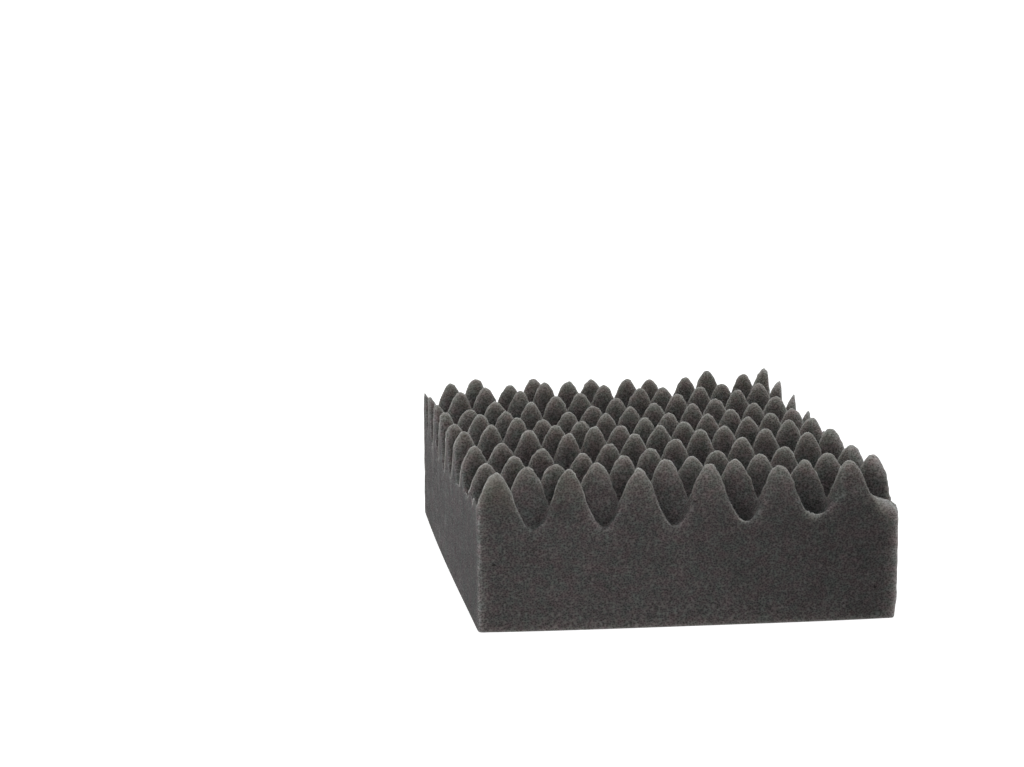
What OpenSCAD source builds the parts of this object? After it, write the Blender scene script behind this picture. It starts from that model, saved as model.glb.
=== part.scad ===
// Wash sponge: one block of open-cell foam with an egg-crate face, cut square from a convoluted sheet.
// The flat underside lies on z = 0. The origin is at the middle of the underside, +Z up towards the
// peaks, width along X and length along Y. The front cut is the one at -Y.

/* [Block] */
// Width of the block, along X
block_width = 130; // [80:1:190]
// Length of the block, along Y
block_length = 180; // [100:1:260]
// Height from the flat underside to a mean peak tip
block_height = 49.5; // [34:0.5:80]

/* [Egg-crate face] */
// Distance between the peaks of one row
peak_pitch = 22; // [14:0.5:36]
// Distance between neighbouring rows, which are staggered by half a pitch
row_gap = 11; // [7:0.25:18]
// Depth from a mean peak tip to a valley floor
valley_depth = 18.5; // [8:0.5:26]
// How much rounder the peaks and the valleys are than a plain wave
peak_fullness = 0.1; // [0:0.02:0.2]
// How much thinner the peaks are from row to row than along a row, 0 where they are round
peak_thinness = 0.32; // [0:0.02:0.34]

/* [Place of the cuts] */
// Angle between the rows of peaks and the front cut, in degrees
lattice_turn = 2.7; // [-6:0.1:6]
// Distance along the front cut from the left cut to the first column of peaks
first_column_x = 6; // [0:0.1:22]
// Distance from the front cut back to the first row, negative where the cut runs behind its tips
first_row_y = -0.6; // [-11:0.1:11]

/* [Unevenness of the foam] */
// Most that a tip stands above or below the mean
tip_unevenness = 1.5; // [0:0.1:2.5]
// Most that a column of peaks stands off its place in the lattice
column_wander = 0.6; // [0:0.1:1.5]

/* [Hidden] */

// Size that the facets of the egg-crate face come near, and the fewest from a peak to a valley
facet_size = 2.75;
fewest_facets = 3;
facets_to_valley_along = max(fewest_facets, round(peak_pitch / 2 / facet_size));
facets_to_valley_across = max(fewest_facets, round(row_gap / facet_size));
// How far the uncut sheet runs past the block, so that no cut lies along its own faces
sheet_margin = 4;

// The sheet is laid out in columns, one pitch apart, and in pairs of rows.
row_pair = 2 * row_gap;
facets_per_column = 2 * facets_to_valley_along;
facets_per_pair = 2 * facets_to_valley_across;
turn_cos = cos(lattice_turn);
turn_sin = sin(lattice_turn);

// The block's four corners in the sheet's own directions set how much sheet is laid out.
corners = [for (x = [-1, 1], y = [-1, 1])
    [x * (block_width / 2 + sheet_margin), y * (block_length / 2 + sheet_margin)]];
corners_along_rows = [for (c = corners) along_rows(c)];
corners_across_rows = [for (c = corners) across_rows(c)];
first_facet = floor(min(corners_along_rows) / peak_pitch * facets_per_column);
last_facet = ceil(max(corners_along_rows) / peak_pitch * facets_per_column);
first_strip = floor(min(corners_across_rows) / row_pair * facets_per_pair);
last_strip = ceil(max(corners_across_rows) / row_pair * facets_per_pair);

// Distance of a point of the block from the first column and from the first row of peaks
function along_rows(point) =
    (point.x + block_width / 2) * turn_cos + (point.y + block_length / 2) * turn_sin - first_column_x;
function across_rows(point) =
    (point.y + block_length / 2) * turn_cos - (point.x + block_width / 2) * turn_sin - first_row_y;

// Slow waves between -1 and 1 that never fall in step with the peaks. The heights drift mostly from
// row to row, as the sheet runs through the cutting rollers, and the columns stray sideways.
function drift(column, pair) =
    0.58 * sin(96 * pair + 10 * column + 125) + 0.42 * sin(85 * column - 47 * pair - 82);
function stray(column) = sin(27 * column + 221);

// Level of the egg-crate face, from -1 on a valley floor to 1 on a peak: a plain wave, then made
// rounder, then thinned between the rows
function wave(column, pair) = cos(360 * column) * cos(360 * pair);
function rounded(wave) = wave + peak_fullness * wave * (1 - wave * wave);
function face_level(column, pair) =
    rounded(wave(column, pair)) - peak_thinness * pow(sin(360 * pair), 2);

// Height of the face over a column and a pair of rows, neither of them a whole number in general
function face_height(column, pair) =
    let (
        level = face_level(column, pair),
        unevenness = tip_unevenness * drift(column, pair)
    )
    block_height - valley_depth * (1 - level) / 2 + unevenness * (1 + level) / 2;

// A point of the egg-crate face, in the block's frame
function face_point(column, pair) =
    let (
        along = column * peak_pitch + first_column_x + column_wander * stray(column),
        across = pair * row_pair + first_row_y
    )
    [
        along * turn_cos - across * turn_sin - block_width / 2,
        along * turn_sin + across * turn_cos - block_length / 2,
        face_height(column, pair)
    ];

// Two triangles of the face, split along the ridge that runs from peak to peak over the saddles.
// corner is the index of the nearest of the square's four points, and row is the points in a row.
function ridge_leans_right(i, j) =
    (floor(i / facets_to_valley_along) + floor(j / facets_to_valley_across)) % 2 == 0;
function face_triangles(corner, row, leans_right) =
    leans_right
        ? [[corner, corner + row + 1, corner + 1], [corner, corner + row, corner + row + 1]]
        : [[corner, corner + row, corner + 1], [corner + 1, corner + row, corner + row + 1]];

// The foam sheet before the block is cut from it: the egg-crate face, four sides and a flat back
module convoluted_sheet() {
    columns = last_facet - first_facet;
    strips = last_strip - first_strip;
    row = columns + 1;
    face = [for (j = [first_strip:last_strip], i = [first_facet:last_facet])
        face_point(i / facets_per_column, j / facets_per_pair)];
    rim = concat(
        [for (i = [0:columns - 1]) i],
        [for (j = [0:strips - 1]) j * row + columns],
        [for (i = [columns:-1:1]) strips * row + i],
        [for (j = [strips:-1:1]) j * row]
    );
    back = [for (k = rim) [face[k].x, face[k].y, -sheet_margin]];
    n = len(rim);
    first_back = len(face);
    back_middle = first_back + n;
    polyhedron(
        points = concat(face, back, [[0, 0, -sheet_margin]]),
        faces = concat(
            [for (j = [0:strips - 1], i = [0:columns - 1])
                each face_triangles(j * row + i, row, ridge_leans_right(first_facet + i, first_strip + j))],
            [for (k = [0:n - 1]) [rim[k], rim[(k + 1) % n], first_back + (k + 1) % n, first_back + k]],
            [for (k = [0:n - 1]) [first_back + k, first_back + (k + 1) % n, back_middle]]
        ),
        convexity = 10
    );
}

// The block: the sheet cut straight down on four sides, and flat across the underside
module foam_block() {
    cut_height = block_height + tip_unevenness + sheet_margin;
    color("dimgray")
    intersection() {
        convoluted_sheet();
        translate([-block_width / 2, -block_length / 2, 0])
            cube([block_width, block_length, cut_height]);
    }
}

foam_block();
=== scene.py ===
"""Wash sponge: one block of dark grey open-cell foam, flat underneath, with an egg-crate face of peaks."""

import math

import bpy
import numpy as np
from mathutils import Euler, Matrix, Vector


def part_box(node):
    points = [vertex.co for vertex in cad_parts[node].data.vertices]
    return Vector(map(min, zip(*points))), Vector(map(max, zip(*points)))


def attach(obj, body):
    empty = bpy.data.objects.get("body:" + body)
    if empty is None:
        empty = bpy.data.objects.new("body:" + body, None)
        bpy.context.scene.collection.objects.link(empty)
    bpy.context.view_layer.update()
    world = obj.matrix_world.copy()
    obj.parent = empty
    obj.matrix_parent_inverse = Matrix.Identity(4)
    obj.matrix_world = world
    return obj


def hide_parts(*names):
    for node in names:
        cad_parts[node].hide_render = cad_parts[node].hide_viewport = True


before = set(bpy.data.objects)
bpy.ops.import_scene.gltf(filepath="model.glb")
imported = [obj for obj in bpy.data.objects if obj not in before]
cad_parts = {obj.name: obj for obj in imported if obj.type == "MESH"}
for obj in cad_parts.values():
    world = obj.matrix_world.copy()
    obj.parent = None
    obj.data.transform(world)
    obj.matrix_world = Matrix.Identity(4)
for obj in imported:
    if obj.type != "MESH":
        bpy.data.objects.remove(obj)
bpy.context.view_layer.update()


# ---- Studio ---------------------------------------------------------------------------------------
# A pale sweep of paper, wide enough to have no visible end, that glows by itself and throws no light
# back at the foam. A broad soft light hangs over it, brightest above, behind and a little to the right.
# Two round cards shine from low down, a small one in front and a larger one at the left.

sweep_size = 140.0
sweep_border = 5.0
sweep_rise = 30.0
sweep_drop = 0.0001

bpy.ops.object.select_all(action="DESELECT")
bpy.ops.mesh.primitive_plane_add(size=sweep_size, location=(0, 0, -sweep_drop))
sweep = bpy.context.object
sweep.name = "studio_sweep"
bpy.ops.object.mode_set(mode="EDIT")
bpy.ops.mesh.select_all(action="SELECT")
bpy.ops.mesh.inset(thickness=sweep_border)
bpy.ops.object.mode_set(mode="OBJECT")
for corner in sweep.data.vertices:
    if max(abs(corner.co.x), abs(corner.co.y)) > (sweep_size - sweep_border) / 2:
        corner.co.z += sweep_rise
sweep.visible_diffuse = False
sweep.visible_shadow = False

paper = bpy.data.materials.new("pale paper")
paper.use_nodes = True
paper_shader = paper.node_tree.nodes["Principled BSDF"]
paper_shader.inputs["Base Color"].default_value = (0.93, 0.93, 0.93, 1)
paper_shader.inputs["Roughness"].default_value = 1.0
paper_shader.inputs["Specular IOR Level"].default_value = 0.0
paper_shader.inputs["Emission Color"].default_value = (1, 1, 1, 1)
paper_shader.inputs["Emission Strength"].default_value = 0.9
sweep.data.materials.append(paper)

# The soft light grows from its darkest side to the side at sky_bright_side, and is plain grey below
# the horizon. Its stops are places along that way, each with how light it is there.
sky_bright_side = Vector((0.32, 0.80, 0.65)).normalized()
sky_stops = [(0.0, 0.10), (0.125, 0.11), (0.5, 0.34), (0.8, 0.50), (1.0, 0.58)]
sky_tint = (0.985, 1.0, 0.98)
sky_below = (0.14, 0.14, 0.14, 1)
horizon_width = 0.03

studio = bpy.data.worlds.new("soft ceiling")
bpy.context.scene.world = studio
studio.use_nodes = True
sky = studio.node_tree
sky.nodes.clear()
sky_way = sky.nodes.new("ShaderNodeTexCoord")
sky_height = sky.nodes.new("ShaderNodeSeparateXYZ")
sky_tilt = sky.nodes.new("ShaderNodeVectorMath")
sky_tilt.operation = "DOT_PRODUCT"
sky_tilt.inputs[1].default_value = sky_bright_side
sky_shift = sky.nodes.new("ShaderNodeMath")
sky_shift.operation = "MULTIPLY_ADD"
sky_shift.inputs[1].default_value = 0.5
sky_shift.inputs[2].default_value = 0.5
sky_ramp = sky.nodes.new("ShaderNodeValToRGB")
sky_floor = sky.nodes.new("ShaderNodeMapRange")
sky_floor.inputs["From Min"].default_value = -horizon_width
sky_floor.inputs["From Max"].default_value = horizon_width
sky_both = sky.nodes.new("ShaderNodeMix")
sky_both.data_type = "RGBA"
sky_both.inputs["A"].default_value = sky_below
sky_glow = sky.nodes.new("ShaderNodeBackground")
sky_out = sky.nodes.new("ShaderNodeOutputWorld")
sky.links.new(sky_way.outputs["Generated"], sky_tilt.inputs[0])
sky.links.new(sky_way.outputs["Generated"], sky_height.inputs[0])
sky.links.new(sky_tilt.outputs["Value"], sky_shift.inputs[0])
sky.links.new(sky_shift.outputs[0], sky_ramp.inputs[0])
sky.links.new(sky_height.outputs["Z"], sky_floor.inputs["Value"])
sky.links.new(sky_floor.outputs[0], sky_both.inputs["Factor"])
sky.links.new(sky_ramp.outputs[0], sky_both.inputs["B"])
sky.links.new(sky_both.outputs["Result"], sky_glow.inputs["Color"])
sky.links.new(sky_glow.outputs[0], sky_out.inputs["Surface"])
sky_ramp.color_ramp.elements[0].position = sky_stops[0][0]
sky_ramp.color_ramp.elements[1].position = sky_stops[-1][0]
for position, _ in sky_stops[1:-1]:
    sky_ramp.color_ramp.elements.new(position)
for element, (_, grey) in zip(sky_ramp.color_ramp.elements, sky_stops):
    element.color = (*(part * grey for part in sky_tint), 1)

for card_name, card_size, card_power, card_color, card_place, card_aim in (
    ("front card", 0.08, 0.0625, (1.0, 0.98, 0.93), (-0.04, -0.22, 0.004), (-0.03, -0.09, 0.03)),
    ("left card", 0.20, 0.11, (1.0, 1.0, 1.0), (-0.30, 0.0, 0.05), (-0.065, 0.0, 0.02)),
):
    card_light = bpy.data.lights.new(card_name, "AREA")
    card_light.shape = "DISK"
    card_light.size = card_size
    card_light.energy = card_power
    card_light.color = card_color
    card = bpy.data.objects.new(card_name, card_light)
    card.location = card_place
    card.rotation_euler = (Vector(card_place) - Vector(card_aim)).to_track_quat("Z", "Y").to_euler()
    card.visible_camera = False
    bpy.context.collection.objects.link(card)

lens = bpy.data.cameras.new("camera")
lens.sensor_width = 36.0
lens.lens = 87.89
camera = bpy.data.objects.new("camera", lens)
camera.location = (-0.14991, -0.82605, 0.19504)
camera.rotation_euler = Euler([math.radians(turn) for turn in (80.944, 0.179, -7.380)])
bpy.context.collection.objects.link(camera)
bpy.context.scene.camera = camera
bpy.context.scene.view_settings.view_transform = "Standard"


# ---- Foam block -----------------------------------------------------------------------------------
# One block of open-cell polyurethane foam, cut from a sheet that was parted into two egg-crate halves
# between pinned rollers. The four sides and the underside are straight saw cuts.

block_low, block_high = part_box("foam_block")
block_width = block_high.x - block_low.x
block_length = block_high.y - block_low.y

# The height is that of a mean tip. The lattice of peaks is given as the cuts lie in it, and its rows are
# half a row_pair apart and half a pitch askew.
block_height = 0.0495
peak_pitch = 0.022
row_pair = 0.022
valley_depth = 0.0185
peak_fullness = 0.1
peak_thinness = 0.32
lattice_turn = math.radians(2.7)
first_column_x = 0.006
first_row_y = -0.0006
tip_unevenness = 0.0015
column_wander = 0.0006

# How far single peaks stand above or below the slow drift of the sheet, in millimetres, by column and
# row. Peaks lie on whole columns in even rows, and on half columns in odd ones. Other places are parts
# of a peak along a cut, and (0.5, 0) is the valley between the first two teeth of the front cut.
tip_rises = {
    (5.35, -0.48): 2.4, (-0.27, 0): 3.2, (0.5, 0): 0.8, (1, 0): 0.6, (2, 0): -1.0, (4, 0): -0.4,
    (4.5, 1): -0.5, (5.5, 1): 0.1, (1, 2): -1.0, (3, 2): -1.0, (5, 2): -0.4,
    (3.5, 3): -1.5, (4.5, 3): -0.3, (5.5, 3): -0.6, (5, 4): 1.5, (1.5, 5): 1.5,
    (2, 6): 1.0, (4, 6): -1.5, (5, 6): 1.0, (2.5, 7): -1.0, (3.5, 7): -1.0,
    (6, 8): -3.8, (2.5, 9): 1.0, (3, 10): 1.5, (4, 10): 1.0, (5.75, 10): -1.0,
    (5.8, 12): -2.5, (6.1, 12): 1.0, (3.5, 13): 1.0,
    (4, 14): -1.0, (5, 14): -1.0, (5.85, 14): -2.2, (6.12, 14): 1.6,
    (3.5, 15): 1.2, (4.5, 15): 1.4, (5.5, 15): 1.2, (5, 16): 3.0, (5.8, 16): -1.5, (6, 16): 3.2,
    # The rises at the back left are made up, within the spread of the rest.
    (0, 4): 0.9, (0.5, 5): -0.8, (1, 6): 0.7, (0, 8): -1.0, (1, 8): 0.9, (0.5, 9): 0.7, (1.5, 9): -0.9,
    (0, 10): 0.8, (0.5, 11): -0.7, (1.5, 11): 1.1, (1, 12): -0.9, (2, 12): 0.8,
    (0.5, 13): 1.0, (2.5, 13): -0.8, (0, 14): -0.7, (2, 14): 1.0,
    (0.5, 15): 0.9, (1.5, 15): -1.1, (1, 16): 1.1, (3, 16): -0.6,
}
peak_radius = 0.0035
millimetre = 0.001

# Three teeth of the front cut have a narrower tip than the rest, and the valley between the first two
# is wider: the sheet drops by so many millimetres at their shoulders.
shoulder_drops = {(0, 0): 0.5, (0.5, 0): 1.1, (1, 0): 1.3, (2, 0): 1.2}
spared_width = 0.0024
shoulder_radius = 0.0060


def wave_of(degrees):
    return np.sin(np.radians(degrees))


def face_height(x, y):
    """Height of the egg-crate face and its level, from -1 on a valley floor to 1 on a peak.

    The columns stray sideways and the heights drift in slow waves that never fall in step with the peaks.
    """
    right = x - block_low.x
    back = y - block_low.y
    along = right * math.cos(lattice_turn) + back * math.sin(lattice_turn) - first_column_x
    across = back * math.cos(lattice_turn) - right * math.sin(lattice_turn) - first_row_y
    column = along / peak_pitch
    for _ in range(3):
        column = (along - column_wander * wave_of(27 * column + 221)) / peak_pitch
    pair = across / row_pair
    wave = np.cos(2 * math.pi * column) * np.cos(2 * math.pi * pair)
    rounded = wave + peak_fullness * wave * (1 - wave * wave)
    level = rounded - peak_thinness * np.sin(2 * math.pi * pair) ** 2
    drift = 0.58 * wave_of(96 * pair + 10 * column + 125) + 0.42 * wave_of(85 * column - 47 * pair - 82)
    height = block_height - valley_depth * (1 - level) / 2 + tip_unevenness * drift * (1 + level) / 2
    for (tip_column, tip_row), rise in tip_rises.items():
        off_along = (column - tip_column) * peak_pitch
        off_across = (pair - tip_row / 2) * row_pair
        near = np.exp(-(off_along ** 2 + off_across ** 2) / (2 * peak_radius ** 2))
        height = height + rise * millimetre * near
    for (tip_column, tip_row), drop in shoulder_drops.items():
        off_along = (column - tip_column) * peak_pitch
        off_across = (pair - tip_row / 2) * row_pair
        shoulder = 1 - np.exp(-((off_along / spared_width) ** 2))
        near = np.exp(-(off_along ** 2 + off_across ** 2) / shoulder_radius ** 2)
        height = height - drop * millimetre * shoulder * near
    return height, level


def grow_from(low, high, value):
    """0 up to low, 1 from high on, and straight between them."""
    return np.clip((value - low) / (high - low), 0, 1)


def read_points(mesh):
    points = np.empty(len(mesh.vertices) * 3)
    mesh.vertices.foreach_get("co", points)
    return points.reshape(-1, 3)


def write_points(mesh, points):
    mesh.vertices.foreach_set("co", points.ravel())
    mesh.update()


def read_ends(mesh):
    """The two points of each edge."""
    ends = np.empty(len(mesh.edges) * 2, dtype=np.int64)
    mesh.edges.foreach_get("vertices", ends)
    return ends.reshape(-1, 2)


def pick(mesh, picked_points, picked_edges):
    mesh.vertices.foreach_set("select", picked_points)
    mesh.edges.foreach_set("select", picked_edges)
    mesh.polygons.foreach_set("select", np.zeros(len(mesh.polygons), dtype=bool))


def pick_points(mesh, picked):
    """Selects those points, and the edges that have both ends among them."""
    pick(mesh, picked, picked[read_ends(mesh)].all(axis=1))


def pick_edges(mesh, wanted):
    """Selects only the edges that wanted() says, given both ends."""
    points = read_points(mesh)
    ends = read_ends(mesh)
    picked = wanted(points[ends[:, 0]], points[ends[:, 1]])
    pick(mesh, np.isin(np.arange(len(points)), ends[picked]), picked)


# The uncut sheet is a grid about as fine as the foam's own cells.
face_step = 0.0006

bpy.ops.object.select_all(action="DESELECT")
bpy.ops.mesh.primitive_grid_add(
    x_subdivisions=round(block_width / face_step),
    y_subdivisions=round(block_length / face_step),
    size=1,
    location=(0, 0, 0),
)
foam = bpy.context.object
foam.name = "foam_sponge"
foam.scale = (block_width, block_length, 1)
bpy.ops.object.transform_apply(location=True, rotation=True, scale=True)

# The cuts aren't quite true: the long sides bow out, and three of the corners stand out. The high
# powers keep each corner's share near it.
side_bow = 0.0010
front_left_stand = 0.0006
front_right_stand = 0.0010
back_right_stand = (0.0015, 0.0025)

points = read_points(foam.data)
flat = points.copy()
across_part = points[:, 0] / (block_width / 2)
along_part = points[:, 1] / (block_length / 2)
to_right = (across_part + 1) / 2
to_back = (along_part + 1) / 2
points[:, 0] += side_bow * across_part ** 5 * (1 - along_part ** 2)
points[:, 0] += back_right_stand[0] * to_right ** 6 * to_back ** 6
points[:, 0] += front_right_stand * to_right ** 6 * (1 - to_back) ** 6
points[:, 0] -= front_left_stand * (1 - to_right) ** 6 * (1 - to_back) ** 6
points[:, 1] += back_right_stand[1] * to_right * to_back ** 6

# The flat sheet is raised into peaks, and a scrap is torn off the front right corner.
torn_radius = 0.0038
torn_depth = 0.0042

points[:, 2], _ = face_height(points[:, 0], points[:, 1])
from_torn = np.hypot(flat[:, 0] - block_high.x, flat[:, 1] - block_low.y)
points[:, 2] -= torn_depth * (1 - grow_from(0, torn_radius, from_torn)) ** 1.3
write_points(foam.data, points)

# Each point remembers where on the sheet it started, and so does what is drawn down from it.
flat[:, 2] = points[:, 2]
start_mark = foam.data.attributes.new("start", "FLOAT_VECTOR", "POINT")
start_mark.data.foreach_set("vector", flat.ravel())

# The rim is drawn down in four narrow steps and one long one, and the underside is closed.
narrow_steps = (0.0006, 0.0006, 0.0007, 0.0008)

bpy.ops.object.mode_set(mode="EDIT")
bpy.ops.mesh.select_all(action="SELECT")
bpy.ops.mesh.region_to_loop()
for step in narrow_steps:
    bpy.ops.mesh.extrude_edges_move(TRANSFORM_OT_translate={"value": (0, 0, -step)})
bpy.ops.mesh.extrude_edges_move()
bpy.ops.transform.resize(value=(1, 1, 0), center_override=(0, 0, 0))
bpy.ops.mesh.edge_face_add()
bpy.ops.mesh.select_all(action="DESELECT")
bpy.ops.object.mode_set(mode="OBJECT")

# The walls are ruled into rows, and the edge round the underside is rounded.
wall_rows = 16
bottom_radius = 0.0004
hairline = 1e-6


def is_on_floor(place):
    return place[:, 2] < hairline


def stands_on_floor(one_end, other_end):
    upright = np.isclose(one_end[:, :2], other_end[:, :2], atol=hairline).all(axis=1)
    return upright & (is_on_floor(one_end) | is_on_floor(other_end))


def lies_on_floor(one_end, other_end):
    return is_on_floor(one_end) & is_on_floor(other_end)


bpy.context.tool_settings.mesh_select_mode = (False, True, False)
pick_edges(foam.data, stands_on_floor)
bpy.ops.object.mode_set(mode="EDIT")
bpy.ops.mesh.subdivide(number_cuts=wall_rows - 1)
bpy.ops.object.mode_set(mode="OBJECT")
pick_edges(foam.data, lies_on_floor)
bpy.ops.object.mode_set(mode="EDIT")
bpy.ops.mesh.bevel(offset=bottom_radius, segments=3, profile=0.5)
bpy.ops.object.mode_set(mode="OBJECT")

# All points are there now. Each one's start says how far it lies from the cuts and below the rim.
points = read_points(foam.data)
start = np.empty(len(points) * 3)
foam.data.attributes["start"].data.foreach_get("vector", start)
foam.data.attributes.remove(foam.data.attributes["start"])
start = start.reshape(-1, 3)
start_x, start_y, start_z = start.T
from_side = block_width / 2 - np.abs(start_x)
from_end = block_length / 2 - np.abs(start_y)
from_cut = np.minimum(from_side, from_end)
from_front = start_y - block_low.y
_, level = face_height(start_x, start_y)

# At its foot the front right corner is drawn in a little, and the front cut spreads a little.
foot_height = 0.010
corner_draw = 0.0009
front_spread = 0.0016
front_band = 0.002

foot = (1 - grow_from(0, foot_height, points[:, 2])) ** 2
at_corner = (start_x / block_width + 0.5) ** 6 * (0.5 - start_y / block_length) ** 6
at_front = (1 - grow_from(0, front_band, from_front)) * np.clip(1 - (start_x / block_width * 2) ** 4, 0, 1)
points[:, 0] -= corner_draw * foot * at_corner
points[:, 1] -= front_spread * foot * at_front
write_points(foam.data, points)

# The sharp edges of the cuts are worn round, and their outermost cells are ragged.
worn_corner = 4.2 * face_step
worn_rim = 3.2 * face_step
worn_depth = 0.0024
ragged_rim = 1.4 * face_step
ragged_depth = 0.0008
ragged_cell = 0.0003

below_rim = start_z - points[:, 2]
bpy.context.tool_settings.mesh_select_mode = (True, False, False)
pick_points(foam.data, np.maximum(from_side, from_end) < worn_corner)
bpy.ops.object.mode_set(mode="EDIT")
bpy.ops.mesh.vertices_smooth(factor=0.5, repeat=14, zaxis=False)
bpy.ops.object.mode_set(mode="OBJECT")
pick_points(foam.data, (from_cut < worn_rim) & (below_rim < worn_depth))
bpy.ops.object.mode_set(mode="EDIT")
bpy.ops.mesh.vertices_smooth(factor=0.5, repeat=7)
bpy.ops.object.mode_set(mode="OBJECT")
pick_points(foam.data, (from_cut < ragged_rim) & (below_rim < ragged_depth))
bpy.ops.object.mode_set(mode="EDIT")
bpy.ops.transform.vertex_random(offset=ragged_cell, seed=3)
bpy.ops.object.mode_set(mode="OBJECT")

# Soft foam is never quite even: slow swells over the walls and the peaks, and small nubs that are
# strongest on the tips. Both fade out towards the underside, which stays flat.
swell_size = 0.0045
swell_height = 0.0007
nub_size = 0.0012
nub_height = 0.00075
quiet_foot = 0.004
rim_line = 0.0003

points = read_points(foam.data)
on_face = below_rim < rim_line
off_floor = grow_from(0, quiet_foot, points[:, 2])
swell_weight = np.round(off_floor * (0.5 + 0.5 * on_face), 2)
nub_weight = np.round(off_floor * (0.4 + 0.3 * on_face + 0.3 * on_face * np.clip(level, 0, 1)), 2)
for name, weight, size, height in (
    ("swells", swell_weight, swell_size, swell_height),
    ("nubs", nub_weight, nub_size, nub_height),
):
    group = foam.vertex_groups.new(name=name)
    for value in np.unique(weight):
        if value > 0:
            group.add(np.flatnonzero(weight == value).tolist(), float(value), "REPLACE")
    clouds = bpy.data.textures.new(name, "CLOUDS")
    clouds.noise_scale = size
    clouds.noise_depth = 1
    displace = foam.modifiers.new(name, "DISPLACE")
    displace.texture = clouds
    displace.texture_coords = "LOCAL"
    displace.strength = height
    displace.mid_level = 0.5
    displace.vertex_group = name
    bpy.ops.object.modifier_apply(modifier=name)

bpy.ops.object.shade_smooth()


def fade(reach, gap):
    """1 on the spot, and less the further off."""
    return np.exp(-gap / reach)


def glow(reach, gap):
    """1 on the spot, and less the further off, with a soft round top."""
    return np.exp(-((gap / reach) ** 2))


# Where a point lies in the shapes of the sheet. A drop down a wall counts square to the rim, which
# runs up and down the peaks.
slope_step = 0.0005
cut_band = 0.1 * face_step
face_depth = 0.0008
face_border = 0.004
tip_depth = 0.008
dull_top = 0.28

points = read_points(foam.data)
below_rim = np.clip(start_z - points[:, 2], 0, None)
rise_x = face_height(start_x + slope_step, start_y)[0] - face_height(start_x - slope_step, start_y)[0]
rise_y = face_height(start_x, start_y + slope_step)[0] - face_height(start_x, start_y - slope_step)[0]
rim_slope = np.where(from_side < from_end, rise_y, rise_x) / (2 * slope_step)
on_wall = (from_cut < cut_band) & (below_rim > rim_line)
from_rim = np.where(on_wall, below_rim / np.sqrt(1 + rim_slope ** 2), from_cut)
from_upright_edge = np.where(on_wall, np.maximum(from_side, from_end), 1)
inner_face = fade(face_depth, below_rim) * grow_from(0, face_border, from_cut)
at_right = start_x > 0
high_rim = grow_from(-0.7, 0.5, level)
tip_level = grow_from(0.1, 1.0, level)
# How much painted light a tip gets, a little less on its very top.
near_tip = tip_level * (1 - dull_top * tip_level ** 6) * glow(tip_depth, below_rim)

# The rows are turned against the front cut, so it leaves the tips of the first row further and further
# behind it to the right. At the left it runs through them, and there the teeth get painted shade on
# their tips in place of painted light.
left_tip_shade = 1.7
shaded_teeth_border = 0.004

tips_behind_cut = (start_x - block_low.x) * math.sin(lattice_turn) + first_row_y
shaded_teeth = (1 - grow_from(-0.0004, 0.0022, tips_behind_cut)) * (1 - grow_from(0, shaded_teeth_border, from_front))
near_tip *= 1 - left_tip_shade * shaded_teeth
buried_rim = grow_from(0.0002, 0.0014, tips_behind_cut) * (start_y < 0)

# Painted light and shade, multiplied into the foam's colour. It stands in for light that comes through
# thin foam and for how light falls: painted light on tips (a little more to the right), along cut
# edges, on the slopes of the face, on slivers of peaks along the right cut, along the upright edges
# (most at the right) and on the side walls near them, and round the torn corner. The teeth of the
# front and the back cut get painted shade along their rim, and the shelf beside the torn corner gets
# a patch of painted shade.
edge_light = 0.4 * (1 - 0.85 * buried_rim * high_rim)
edge_reach = 0.0013
tip_light = (0.65 - 0.15 * inner_face) * (1 + 0.12 * start_x / block_high.x)
slope_light = 0.16 * inner_face
slope_level = -0.1
slope_reach = 0.5
sliver_light = 2.2 * at_right * tip_level
sliver_width = 0.006
sliver_depth = 0.005
tooth_rim_dark = 1.1 * high_rim * (1 - buried_rim) * (from_end < from_side)
tooth_rim_reach = 0.0009
upright_light = np.where(at_right, 2.5, 0.85)
upright_reach = 0.0014
side_wall_light = 0.3 * (from_side < cut_band)
side_wall_reach = 0.004
torn_light = 0.8
torn_reach = 0.0045
torn_place = (block_high.x, block_low.y, 0.036)
shelf_dark = 0.2
shelf_reach = 0.0035
shelf_place = (block_high.x - 0.006, block_low.y, 0.038)
darkest = 0.4

painted_light_and_shade = 1 + edge_light * fade(edge_reach, from_rim)
painted_light_and_shade += tip_light * near_tip
painted_light_and_shade += slope_light * glow(slope_reach, level - slope_level)
painted_light_and_shade += sliver_light * glow(sliver_width, from_side) * glow(sliver_depth, below_rim)
painted_light_and_shade -= tooth_rim_dark * fade(tooth_rim_reach, from_rim)
painted_light_and_shade += upright_light * fade(upright_reach, from_upright_edge)
painted_light_and_shade += side_wall_light * fade(side_wall_reach, from_upright_edge)
painted_light_and_shade += torn_light * glow(torn_reach, np.linalg.norm(points - torn_place, axis=1))
painted_light_and_shade -= shelf_dark * glow(shelf_reach, np.linalg.norm(points - shelf_place, axis=1))
shading = foam.data.attributes.new("painted_light_and_shade", "FLOAT", "POINT")
shading.data.foreach_set("value", np.clip(painted_light_and_shade, darkest, None))

# The foam is a net of fine struts round dark cells, in a soft warm dark grey that lets light through.
warm_grey = (0.127, 0.108, 0.113, 1)
cool_grey = (0.109, 0.114, 0.113, 1)
light_depth = 0.016
light_depth_by_colour = (1.0, 0.97, 0.88)
strut_height = 0.0003

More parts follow.
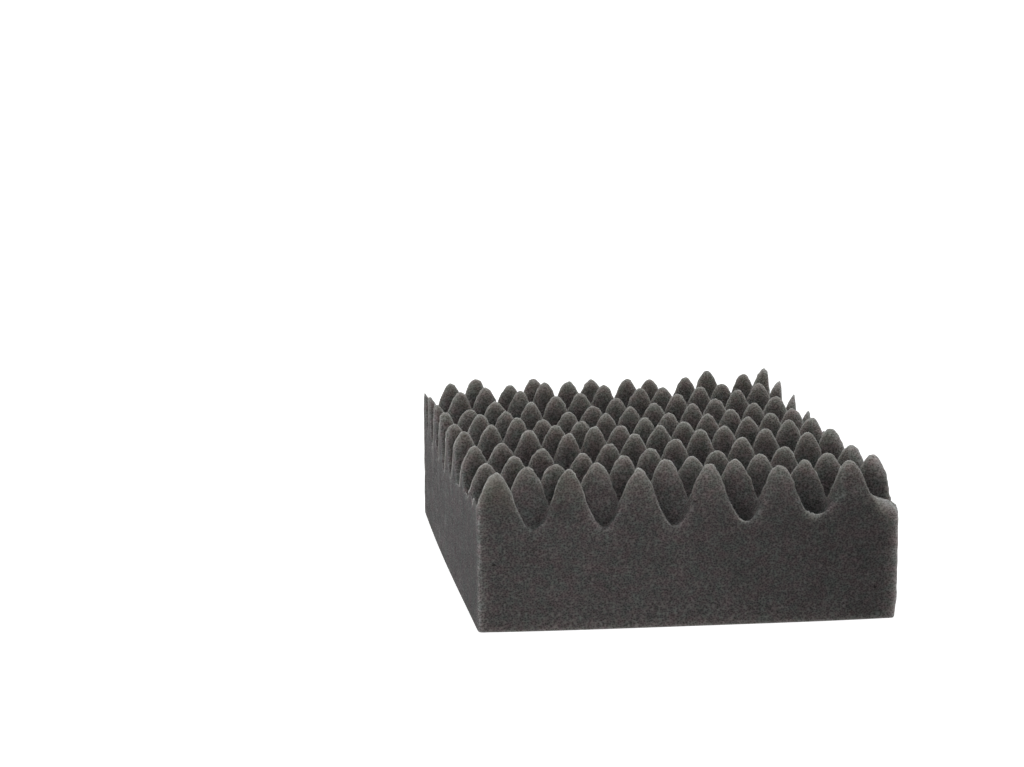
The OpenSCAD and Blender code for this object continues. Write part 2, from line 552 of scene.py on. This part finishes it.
foam_material = bpy.data.materials.new("open cell foam")
foam_material.use_nodes = True
foam.data.materials.append(foam_material)
net = foam_material.node_tree
shader = net.nodes["Principled BSDF"]
shader.subsurface_method = "RANDOM_WALK"
shader.inputs["Roughness"].default_value = 1.0
shader.inputs["Specular IOR Level"].default_value = 0.05
shader.inputs["Subsurface Weight"].default_value = 1.0
shader.inputs["Subsurface Radius"].default_value = light_depth_by_colour
shader.inputs["Subsurface Scale"].default_value = light_depth
shader.inputs["Subsurface Anisotropy"].default_value = 0.0


def foam_node(kind, sockets, **settings):
    made = net.nodes.new(kind)
    for name, value in settings.items():
        setattr(made, name, value)
    for name, value in sockets.items():
        made.inputs[name].default_value = value
    return made


def product(first, second, socket="Result"):
    made = foam_node("ShaderNodeMath", {}, operation="MULTIPLY")
    net.links.new(first.outputs[0], made.inputs[0])
    net.links.new(second.outputs[socket], made.inputs[1])
    return made


def band(source, socket, low, high, at_low, at_high):
    """Turns a pattern's value between low and high into a shade between at_low and at_high."""
    sockets = {"From Min": low, "From Max": high, "To Min": at_low, "To Max": at_high}
    made = foam_node("ShaderNodeMapRange", sockets)
    net.links.new(source.outputs[socket], made.inputs["Value"])
    return made


# The patterns of the foam, with scales that count spots along a metre. The cells are a little wider
# across than they are high. The tint turns the grey from warm to cool, and each of the other patterns
# becomes a shade. The shades multiply.
place = foam_node("ShaderNodeTexCoord", {})
cells = foam_node("ShaderNodeTexVoronoi", {"Scale": 1760.0}, feature="F1")
flecks = foam_node("ShaderNodeTexNoise", {"Scale": 1000.0, "Detail": 3.0, "Roughness": 0.6})
mottle = foam_node("ShaderNodeTexNoise", {"Scale": 150.0, "Detail": 2.0, "Roughness": 0.5})
tint = foam_node("ShaderNodeTexNoise", {"Scale": 320.0, "Detail": 3.0, "Roughness": 0.6})
pits = foam_node("ShaderNodeTexVoronoi", {"Scale": 90.0}, feature="F1")
specks = foam_node("ShaderNodeTexVoronoi", {"Scale": 110.0}, feature="F1")
painted_light_node = foam_node("ShaderNodeAttribute", {}, attribute_name="painted_light_and_shade")
stretch = foam_node("ShaderNodeMapping", {"Scale": (0.88, 1.0, 1.08)})
net.links.new(place.outputs["Object"], stretch.inputs["Vector"])
for pattern in (cells, flecks, mottle, tint, pits, specks):
    net.links.new(stretch.outputs["Vector"], pattern.inputs["Vector"])

shade = band(cells, "Distance", 0.08, 0.80, 0.42, 1.58)
shade = product(shade, band(flecks, "Fac", 0.3, 0.7, 0.78, 1.22))
shade = product(shade, band(mottle, "Fac", 0.3, 0.7, 0.92, 1.08))
shade = product(shade, band(pits, "Distance", 0.025, 0.055, 0.30, 1.0))
shade = product(shade, band(specks, "Distance", 0.015, 0.03, 2.6, 1.0))
# Last, the painted light and shade kept on the points multiplies in.
shade = product(shade, painted_light_node, "Fac")
tint_ramp = foam_node("ShaderNodeValToRGB", {})
tint_ramp.color_ramp.elements[0].position = 0.35
tint_ramp.color_ramp.elements[0].color = warm_grey
tint_ramp.color_ramp.elements[1].position = 0.65
tint_ramp.color_ramp.elements[1].color = cool_grey
net.links.new(tint.outputs["Fac"], tint_ramp.inputs["Fac"])
foam_grey = foam_node("ShaderNodeVectorMath", {}, operation="SCALE")
net.links.new(tint_ramp.outputs["Color"], foam_grey.inputs[0])
net.links.new(shade.outputs[0], foam_grey.inputs["Scale"])
net.links.new(foam_grey.outputs[0], shader.inputs["Base Color"])

relief = foam_node("ShaderNodeBump", {"Strength": 0.8, "Distance": strut_height})
net.links.new(cells.outputs["Distance"], relief.inputs["Height"])
net.links.new(relief.outputs["Normal"], shader.inputs["Normal"])

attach(foam, "root")
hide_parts("foam_block")
